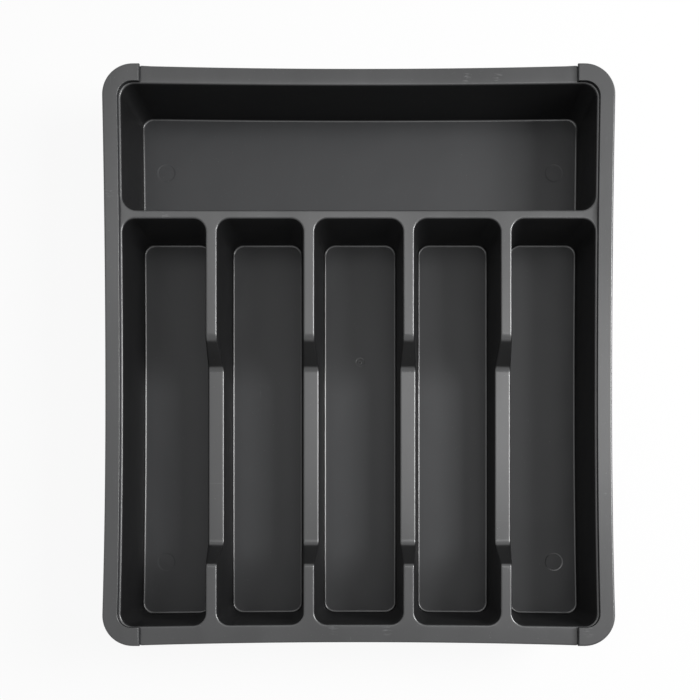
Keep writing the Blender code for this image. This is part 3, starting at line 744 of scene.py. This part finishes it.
# %% The raised end cap
def slab_rings(plan, bottom, top, edge_round):
    rings = [plan.ring(0.0, 0.0, bottom, draw_in_sides)]
    for angle in arc(0.0, 0.5 * math.pi, fillet_steps):
        inset = edge_round * (1 - math.cos(angle))
        rings.append(plan.ring(inset, inset, top - edge_round * (1 - math.sin(angle)), draw_in_sides))
    return rings


def end_cap():
    """The raised rim over the centre tray's end, with a skirt, round both outer corners."""
    outline = Outline(-half_width, half_width, -half_depth, half_depth, outline_corner_radius,
                      outline_corner_steps, marks_y=between(-half_depth, half_depth, bow_marks))
    bottom = cap_bottom - cap_skirt_depth
    cap = loft("end_cap", slab_rings(outline, bottom, cap_top, cap_edge_round))
    recess = loft("cap_recess", [outline.ring(cap_skirt_thickness, cap_skirt_thickness, z, draw_in_sides)
                                 for z in (bottom - overrun, cap_bottom)])
    far = half_depth + overrun
    low = bottom - overrun
    end_face = [(cap_end + cap_end_round * (1 - math.cos(angle)),
                 cap_top - cap_end_round * (1 - math.sin(angle)))
                for angle in arc(0.0, flare_end_angle, fillet_steps)]
    profile = [(-half_width - overrun, low), (high_wall_start, low),
               (high_wall_start, cap_bottom), (cap_end, cap_bottom)]
    profile += end_face
    profile += [(end_face[-1][0], cap_top + overrun), (-half_width - overrun, cap_top + overrun)]
    inward = extrude_profile("cap_end_cut", profile, "Y", -far, far)
    return combine(cap, [recess, inward], "DIFFERENCE")


def cap_opening():
    """The opening inside the raised rim, with a rounded top edge."""
    plan = Outline(-pockets_half_width - cap_setback_end, pockets_half_width + cap_setback_end,
                   columns_front - cap_setback_side, wide_back + cap_setback_side,
                   pocket_corner_radius + cap_setback_side, corner_steps,
                   marks_y=between(-half_depth, half_depth, bow_marks),
                   back_radius=wide_pocket_corner_radius + cap_setback_side)
    rings = [plan.ring(0.0, 0.0, cap_bottom - rim_gap, draw_in_sides)]
    for angle in arc(0.0, flare_end_angle, fillet_steps):
        flare = cap_opening_round * (1 - math.cos(angle))
        z = cap_top - cap_opening_round * (1 - math.sin(angle))
        rings.append(plan.ring(-flare, -flare, z, draw_in_sides))
    rings.append([(x, y, cap_top + overrun) for x, y, z in rings[-1]])
    return loft("cap_opening", rings)


# %% Slide lips, slots and foot cups
def slide_lips():
    low = slide_lip_top - slide_lip_thickness
    root = wall_inset + side_wall_thickness / 2
    back_face = wide_back + wall_band + back_lip_width
    front_face = columns_front - wall_band - front_lip_width
    return [box("back_lip", (0.0, wide_back + root, low), (cap_end, back_face, slide_lip_top)),
            box("front_lip", (0.0, front_face, low), (cap_end, columns_front - root, slide_lip_top))]


def slot(name, y):
    """The long hole that a slide boss runs in: its length is the travel of the tray."""
    radius = boss_radius + rim_gap
    outer, inner = boss_x, boss_x - slide_travel
    points = [(outer + radius * math.cos(angle), y + radius * math.sin(angle))
              for angle in arc(-0.5 * math.pi, 0.5 * math.pi, outline_corner_steps)]
    points += [(inner + radius * math.cos(angle), y + radius * math.sin(angle))
               for angle in arc(0.5 * math.pi, 1.5 * math.pi, outline_corner_steps)]
    return loft(name, [[(x, y_place, z) for x, y_place in points]
                       for z in (side_floor_bottom - overrun / 2, side_floor_top + overrun / 2)])


def side_foot_places():
    x = pockets_half_width - foot_inset_x + foot_radius
    return [("front", x, columns_front + foot_inset_y), ("back", x, wide_back - foot_inset_y)]


# %% Build both side trays
def right_side_tray():
    tray = side_tray_walls()
    additions = [end_cap()] + slide_lips()
    cuts = [cap_opening(), slot("front_slot", boss_front), slot("back_slot", boss_back)]
    for end, x, y in side_foot_places():
        root, bottom, lip, seat = cup_profile(side_floor_bottom + side_floor_thickness / 2)
        additions.append(turned(f"cup_{end}", [bottom, root], x, y))
        cuts.append(turned(f"cup_bore_{end}", [(lip[0], lip[1] - overrun), seat], x, y))
    far = half_depth + overrun
    cuts.append(box("inner_end", (-half_width, -far, -overrun),
                    (side_inner_edge, far, cap_top + overrun)))
    combine(tray, additions, "UNION")
    combine(tray, cuts, "DIFFERENCE")
    tray.name = "right_moulding"
    return tray


def mirrored(piece, name):
    shape = bmesh.new()
    shape.from_mesh(piece.data)
    for vertex in shape.verts:
        vertex.co.x = -vertex.co.x
    bmesh.ops.reverse_faces(shape, faces=shape.faces)
    mesh = bpy.data.meshes.new(name)
    shape.to_mesh(mesh)
    shape.free()
    return new_piece(name, mesh)


right = right_side_tray()
left = mirrored(right, "left_moulding")
fit(right, "right", "tray_plastic", "right_side_tray")
fit(left, "left", "tray_plastic", "left_side_tray")

# %% [markdown]
# ## Feet and studs
# Small turned pieces under the trays. A rubber foot has a rounded edge and a shallow dish, so that
# it grips at its ring. A stud is pushed up into each boss, and its broad head carries the side
# tray. Its head has the dimple that the ejector leaves. Both are profiles turned about an upright
# axis, as the tool that moulds them is turned on a lathe.

# %% Feet
def rounded_rim(radius, bottom, bottom_round):
    """The rounded lower edge of a disc, from its underside out and up."""
    return [(radius - bottom_round * (1 - math.sin(angle)),
             bottom + bottom_round * (1 - math.cos(angle)))
            for angle in arc(0.0, 0.5 * math.pi, fillet_steps)]


def foot(name, x, y):
    dish_radius, dish_depth = foot_radius * 0.62, foot_edge_round * 0.6
    profile = [(dish_radius * 0.15, dish_depth), (dish_radius * 0.6, dish_depth * 0.8),
               (dish_radius * 0.9, dish_depth * 0.25), (dish_radius, 0.0)]
    profile += rounded_rim(foot_radius, 0.0, foot_edge_round)
    profile += [(foot_radius, foot_seat - seat_gap - foot_edge_round / 3),
                (foot_radius - foot_edge_round / 3, foot_seat - seat_gap)]
    return turned(name, profile, x, y)


def slide_stud(name, x, y):
    head_top = side_floor_bottom - stud_play
    bottom = head_top - stud_head_thickness
    dimple = stud_head_radius * 0.3
    profile = [(dimple * 0.7, bottom + stud_head_round * 0.6), (dimple, bottom + stud_head_round * 0.1),
               (dimple * 1.1, bottom)]
    profile += rounded_rim(stud_head_radius, bottom, stud_head_round)
    profile += [(stud_head_radius, head_top), (stud_shank_radius, head_top),
                (stud_shank_radius, side_floor_bottom + stud_grip - stud_head_round),
                (stud_shank_radius - stud_head_round, side_floor_bottom + stud_grip)]
    return turned(name, profile, x, y)


studs, feet = [], []
for side, end, x, y in boss_places():
    studs.append(fit(slide_stud(f"stud_{side}_{end}", x, y), "centre", "stud_plastic",
                     f"slide_stud_{side}_{end}"))
for end, x, y in centre_foot_places():
    feet.append(fit(foot(f"rubber_foot_centre_{end}", x, y), "centre", "foot_rubber",
                    f"foot_centre_{end}"))
for side, sign in (("left", -1), ("right", 1)):
    for end, x, y in side_foot_places():
        feet.append(fit(foot(f"rubber_foot_{side}_{end}", sign * x, y), side, "foot_rubber",
                        f"foot_{side}_{end}"))

# %% [markdown]
# ## Writing shader maths as Python
# A node tree is easier to read as an expression. A Value wraps the output socket of a node, and
# its operators add Math nodes, so that 1 - mask or grain * 0.2 can be written as it is thought.
# Every other node comes from one method of Finish.

# %% Values and finishes
class Value:
    """A number that changes over the surface."""

    def __init__(self, finish, socket):
        self.finish, self.socket = finish, socket

    def maths(self, operation, first, second):
        return self.finish.node("ShaderNodeMath", {"operation": operation}, {0: first, 1: second})

    def __add__(self, other):
        return self.maths("ADD", self, other)

    def __sub__(self, other):
        return self.maths("SUBTRACT", self, other)

    def __rsub__(self, other):
        return self.maths("SUBTRACT", other, self)

    def __mul__(self, other):
        return self.maths("MULTIPLY", self, other)

    __radd__, __rmul__ = __add__, __mul__


class Finish:
    """A material with one Principled shader."""

    def __init__(self, name, colour, roughness):
        self.material = bpy.data.materials.new(name)
        self.material.use_nodes = True
        self.tree = self.material.node_tree
        self.shader = self.tree.nodes["Principled BSDF"]
        self.feed(self.shader.inputs["Base Color"], (*colour, 1.0))
        self.feed(self.shader.inputs["Roughness"], roughness)

    def feed(self, socket, value):
        if isinstance(value, Value):
            self.tree.links.new(value.socket, socket)
        else:
            socket.default_value = value

    def node(self, kind, settings=None, sockets=None, output=0):
        made = self.tree.nodes.new(kind)
        for name, value in (settings or {}).items():
            setattr(made, name, value)
        for name, value in (sockets or {}).items():
            self.feed(made.inputs[name], value)
        return Value(self, made.outputs[output])

    def place(self, stretch=(1.0, 1.0, 1.0), turn=0.0):
        """The place on the piece, which moves with it, stretched and turned for streaks."""
        here = self.node("ShaderNodeTexCoord", output="Object")
        return self.node("ShaderNodeMapping", {}, {"Vector": here, "Scale": stretch,
                                                   "Rotation": (0.0, 0.0, math.radians(turn))})

    def noise(self, scale, detail=2.0, roughness=0.5, distortion=0.0, where=None):
        return self.node("ShaderNodeTexNoise", {}, {"Vector": where or self.place(), "Scale": scale,
                                                    "Detail": detail, "Roughness": roughness,
                                                    "Distortion": distortion})

    def axis(self, vector, name):
        return self.node("ShaderNodeSeparateXYZ", {}, {"Vector": vector}, output=name)

    def window(self, value, low, high):
        """0 below low, 1 above high, and a straight ramp between."""
        return self.node("ShaderNodeMapRange", {"clamp": True},
                         {"Value": value, "From Min": low, "From Max": high})

    def mix(self, share, first, second):
        return self.node("ShaderNodeMix", {"data_type": "RGBA"}, {0: share, 6: first, 7: second},
                         output=2)

    def bump(self, height, distance, under=None):
        sockets = {"Height": height, "Distance": distance, "Strength": 1.0}
        if under is not None:
            sockets["Normal"] = under
        return self.node("ShaderNodeBump", {}, sockets)

    def give(self, **inputs):
        for name, value in inputs.items():
            self.feed(self.shader.inputs[name.replace("_", " ").title().replace("Ior", "IOR")], value)
        return self.material


# %% [markdown]
# ## Charcoal tray plastic
# The trays are moulded in a polypropylene that is nearly black, in a tool whose cavity was lightly
# spark eroded. So the surface has three scales: a very fine grain that makes it satin, slow waves
# of a few centimetres where the wall shrank, which mottle the reflections on the rims, and the
# hairline scuffs of use on what stands up. The rims and slopes have a smooth skin, given as a coat.
# The flat floors have none; their colour is painted lighter, a painted sheen in place of a stronger
# reflection, and the walls deep in the pockets get a painted shade, a darker colour where little light
# reaches. A little dust lies over all of it.

# %% Tray plastic
charcoal = (0.0200, 0.0205, 0.0216)
shiny_charcoals = (0.0170, 0.0175, 0.0185, 1.0), (0.0236, 0.0243, 0.0256, 1.0)
# The next pair: a lighter colour painted on the pocket floors as a sheen, and a darker one painted on the
# walls deep in the pockets as shade.
painted_floor_sheen, painted_pocket_shade = (0.0350, 0.0358, 0.0376, 1.0), (0.0050, 0.0051, 0.0054, 1.0)
worn_charcoal, dust_grey = (0.105, 0.1065, 0.109, 1.0), (0.26, 0.26, 0.26, 1.0)
rubbed_places = ((-0.1220, 0.0890, rim_top), (-0.0635, 0.0895, rim_top), (-0.0162, -0.1729, rim_top),
                 (0.0178, -0.1729, rim_top), (0.1570, -0.0866, cap_top), (0.1440, -0.1735, cap_top),
                 (-0.1560, 0.1010, cap_top), (0.0670, 0.1750, rim_top), (0.0877, 0.1747, rim_top))


def rubbed(finish):
    """A few places on the rims that other things rubbed against."""
    here = finish.place()
    spots = [1 - finish.window(finish.node("ShaderNodeVectorMath", {"operation": "DISTANCE"},
                                           {0: here, 1: place}, output="Value"), 0.0008, 0.0042)
             for place in rubbed_places]
    return sum(spots[1:], spots[0])


def inside_pockets(finish):
    """1 within the six pockets, which are shaded from most light, and 0 outside them."""
    here = finish.place()
    x, y, z = (finish.axis(here, name) for name in "XYZ")
    past_ends = finish.window(x * x, pockets_half_width ** 2, (pockets_half_width + rim_fillet) ** 2)
    past_back = finish.window(y * y, wide_back ** 2, (wide_back + rim_fillet) ** 2)
    near_top = finish.window(z, rim_top - rim_fillet, rim_top)
    return (1 - past_ends) * (1 - past_back) * (1 - near_top)


def tray_plastic():
    finish = Finish("satin charcoal plastic", charcoal, 0.33)
    grain = finish.noise(2600.0, detail=3.0, roughness=0.6)
    waves = finish.noise(34.0, detail=1.5)
    flow = finish.noise(18.0, detail=4.0, roughness=0.62, where=finish.place((1.0, 0.25, 1.0)))
    marks = finish.noise(55.0, detail=5.0, roughness=0.7, distortion=0.4)
    along = finish.noise(420.0, detail=2.0, where=finish.place((1.0, 0.02, 1.0), turn=24.0))
    across = finish.noise(460.0, detail=2.0, where=finish.place((0.02, 1.0, 1.0), turn=-31.0))
    scuffs = finish.window(along, 0.73, 0.80) + finish.window(across, 0.74, 0.81)
    streaks = finish.window(finish.noise(900.0, detail=3.0, where=finish.place((0.25, 1.0, 1.0))),
                            0.52, 0.64)
    worn = scuffs * finish.window(marks, 0.50, 0.64) + rubbed(finish) * streaks
    specks = finish.window(finish.noise(1500.0, detail=1.0), 0.755, 0.80)
    facing_up = finish.axis(finish.node("ShaderNodeTexCoord", output="Normal"), "Z")
    above_floor = finish.window(finish.axis(finish.place(), "Z"), 0.018, 0.026)
    standing = 1 - finish.window(facing_up, 0.72, 0.86)
    flat_floor = finish.window(facing_up, 0.97, 0.99) * (1 - above_floor)
    patches = finish.window(flow, 0.30, 0.72)
    polished = (1 - standing) * (1 - flat_floor) * (0.74 + patches * 0.26)
    mottled = finish.mix(patches, *shiny_charcoals)
    # Painted sheen: the flat pocket floors are mixed towards a lighter colour, in place of a stronger
    # reflection of the light on them.
    with_floor_sheen = finish.mix(flat_floor, mottled, painted_floor_sheen)
    # Painted shade: the standing walls inside the pockets are mixed towards a darker colour, where little
    # light reaches them.
    with_pocket_shade = finish.mix(standing * inside_pockets(finish), with_floor_sheen, painted_pocket_shade)
    scuffed = finish.mix(worn * 0.8, with_pocket_shade, worn_charcoal)
    dusty = finish.mix(specks * 0.5, scuffed, dust_grey)
    relief = finish.bump(waves, 0.00055)
    relief = finish.bump(grain, 0.0000085, relief)
    roughness = 0.42 + flow * 0.06 + grain * 0.05 + worn * 0.10
    return finish.give(base_color=dusty, roughness=roughness, normal=relief, coat_weight=polished,
                       coat_roughness=0.25, coat_ior=1.6, specular_ior_level=0.35)


tray_finish = tray_plastic()
for piece in (centre, left, right):
    piece.data.materials.clear()
    piece.data.materials.append(tray_finish)
print(tray_finish.name, len(tray_finish.node_tree.nodes), "nodes")

# %% [markdown]
# ## Stud plastic and foot rubber
# The studs are moulded in a plain black plastic, a little rougher than the trays. The feet are
# rubber: no shine, and a blotchy grey where they picked up dust from the drawer.

# %% Studs and feet
def stud_plastic():
    finish = Finish("black stud plastic", (0.014, 0.014, 0.015), 0.45)
    grain = finish.noise(1900.0, detail=3.0)
    cloud = finish.noise(260.0, detail=3.0)
    shade = finish.mix(cloud, (0.011, 0.011, 0.0115, 1.0), (0.019, 0.019, 0.020, 1.0))
    return finish.give(base_color=shade, roughness=0.38 + grain * 0.16,
                       normal=finish.bump(grain, 0.00001))


def foot_rubber():
    finish = Finish("black foot rubber", (0.012, 0.012, 0.012), 0.8)
    grain = finish.noise(2300.0, detail=4.0, roughness=0.7)
    dust = finish.window(finish.noise(340.0, detail=4.0, roughness=0.65), 0.45, 0.72)
    shade = finish.mix(dust * 0.55, (0.010, 0.010, 0.010, 1.0), (0.040, 0.038, 0.036, 1.0))
    return finish.give(base_color=shade, roughness=0.74 + grain * 0.2,
                       normal=finish.bump(grain, 0.00003))


for pieces, finish in ((studs, stud_plastic()), (feet, foot_rubber())):
    for piece in pieces:
        piece.data.materials.clear()
        piece.data.materials.append(finish)
    print(finish.name, "on", len(pieces), "pieces")

# %% [markdown]
# ## Studio
# The tray lies on a white table in a studio whose walls are white too. The surroundings count as
# white for the eye and for mirrored and passed rays, and give no light of their own. The table is
# lifted towards white for the same rays, as in a shop's picture, and still keeps a faint shadow.

# %% Table and surroundings
scene = bpy.context.scene
scene.view_settings.view_transform = "Standard"

table_reach, table_lift = 3.0, 0.93
table_mesh = bpy.data.meshes.new("table")
table_mesh.from_pydata([(-table_reach, -table_reach, 0.0), (table_reach, -table_reach, 0.0),
                        (table_reach, table_reach, 0.0), (-table_reach, table_reach, 0.0)],
                       [], [(0, 1, 2, 3)])
table = new_piece("table", table_mesh)


def white_table():
    finish = Finish("white table", (0.86, 0.86, 0.86), 0.9)
    nodes, links = finish.tree.nodes, finish.tree.links
    glow, blend, path = (nodes.new(kind) for kind in ("ShaderNodeEmission", "ShaderNodeMixShader",
                                                      "ShaderNodeLightPath"))
    glow.inputs["Color"].default_value = (1.0, 1.0, 1.0, 1.0)
    glow.inputs["Strength"].default_value = 1.0
    camera, mirrored, passed = (Value(finish, path.outputs[name])
                                for name in ("Is Camera Ray", "Is Glossy Ray", "Is Transmission Ray"))
    seen = camera.maths("MAXIMUM", camera, camera.maths("MAXIMUM", mirrored, passed))
    finish.feed(blend.inputs["Fac"], seen * table_lift)
    links.new(finish.shader.outputs["BSDF"], blend.inputs[1])
    links.new(glow.outputs["Emission"], blend.inputs[2])
    links.new(blend.outputs["Shader"], nodes["Material Output"].inputs["Surface"])
    return finish.material


table.data.materials.append(white_table())


def white_surroundings(world, own_light):
    """White to camera, glossy and transmission rays, and own_light to all others."""
    world.use_nodes = True
    nodes, links = world.node_tree.nodes, world.node_tree.links
    nodes.clear()
    output, choice = nodes.new("ShaderNodeOutputWorld"), nodes.new("ShaderNodeMixShader")
    dim, white = nodes.new("ShaderNodeBackground"), nodes.new("ShaderNodeBackground")
    path, first, both = (nodes.new(kind) for kind in ("ShaderNodeLightPath", "ShaderNodeMath",
                                                      "ShaderNodeMath"))
    first.operation = both.operation = "MAXIMUM"
    for background, strength in ((dim, own_light), (white, 1.0)):
        background.inputs["Color"].default_value = (1.0, 1.0, 1.0, 1.0)
        background.inputs["Strength"].default_value = strength
    links.new(path.outputs["Is Camera Ray"], first.inputs[0])
    links.new(path.outputs["Is Glossy Ray"], first.inputs[1])
    links.new(first.outputs[0], both.inputs[0])
    links.new(path.outputs["Is Transmission Ray"], both.inputs[1])
    links.new(both.outputs[0], choice.inputs["Fac"])
    links.new(dim.outputs["Background"], choice.inputs[1])
    links.new(white.outputs["Background"], choice.inputs[2])
    links.new(choice.outputs["Shader"], output.inputs["Surface"])


scene.world = scene.world or bpy.data.worlds.new("studio")
white_surroundings(scene.world, 0.0)

# %% [markdown]
# ## Soft light from above
# A black tray shows almost only what it mirrors. Seen from above, its rims mirror the ceiling, so
# a ceiling of soft panels lights it, strongest above the middle and the right, which is what the
# tones of the real rims ask for. Two more panels stand at the right, one above the other. They draw
# the bright line along every edge that faces them.

# %% Soft panels
ceiling_height = 1.2
ceiling_columns, ceiling_rows = (-0.4, -0.1, 0.2, 0.5), (-0.25, 0.10, 0.45)
ceiling_power = ((0.0, 0.0, 0.0, 0.05), (0.08, 0.45, 0.80, 0.65), (0.33, 0.52, 0.18, 0.04))


def panel(name, place, width, height, power, aim):
    light = bpy.data.lights.new(name, "AREA")
    light.shape, light.size, light.size_y, light.energy = "RECTANGLE", width, height, power
    lamp = bpy.data.objects.new(name, light)
    scene.collection.objects.link(lamp)
    lamp.location = place
    lamp.rotation_euler = (Vector(aim) - Vector(place)).to_track_quat("-Z", "Y").to_euler()


for y, powers in zip(ceiling_rows, ceiling_power):
    for x, power in zip(ceiling_columns, powers):
        panel("ceiling panel", (x, y, ceiling_height), 0.30, 0.35, power, (x, y, 0.0))
tray_middle = (0.0, 0.0, 0.03)
panel("right panel", (1.1, 0.2, 1.0), 0.8, 0.5, 19.5, tray_middle)
panel("low right panel", (1.2, 0.2, 0.8), 0.4, 0.3, 6.5, tray_middle)
print("ceiling panels:", len(ceiling_rows) * len(ceiling_columns))

# %% [markdown]
# ## Camera
# The photo was taken from straight above, a little in front of the middle, with the frame shifted
# back to the tray. That keeps the outline square while the back walls show more than the front
# ones.

# %% Camera
camera_data = bpy.data.cameras.new("camera")
camera_data.lens, camera_data.sensor_width = 51.4, 36.0
camera_data.shift_x, camera_data.shift_y = -0.0427, 0.2585
camera_data.clip_start, camera_data.clip_end = 0.01, 20.0
camera = bpy.data.objects.new("camera", camera_data)
scene.collection.objects.link(camera)
camera.location = (0.0133, -0.1106, 0.6800)
scene.camera = camera
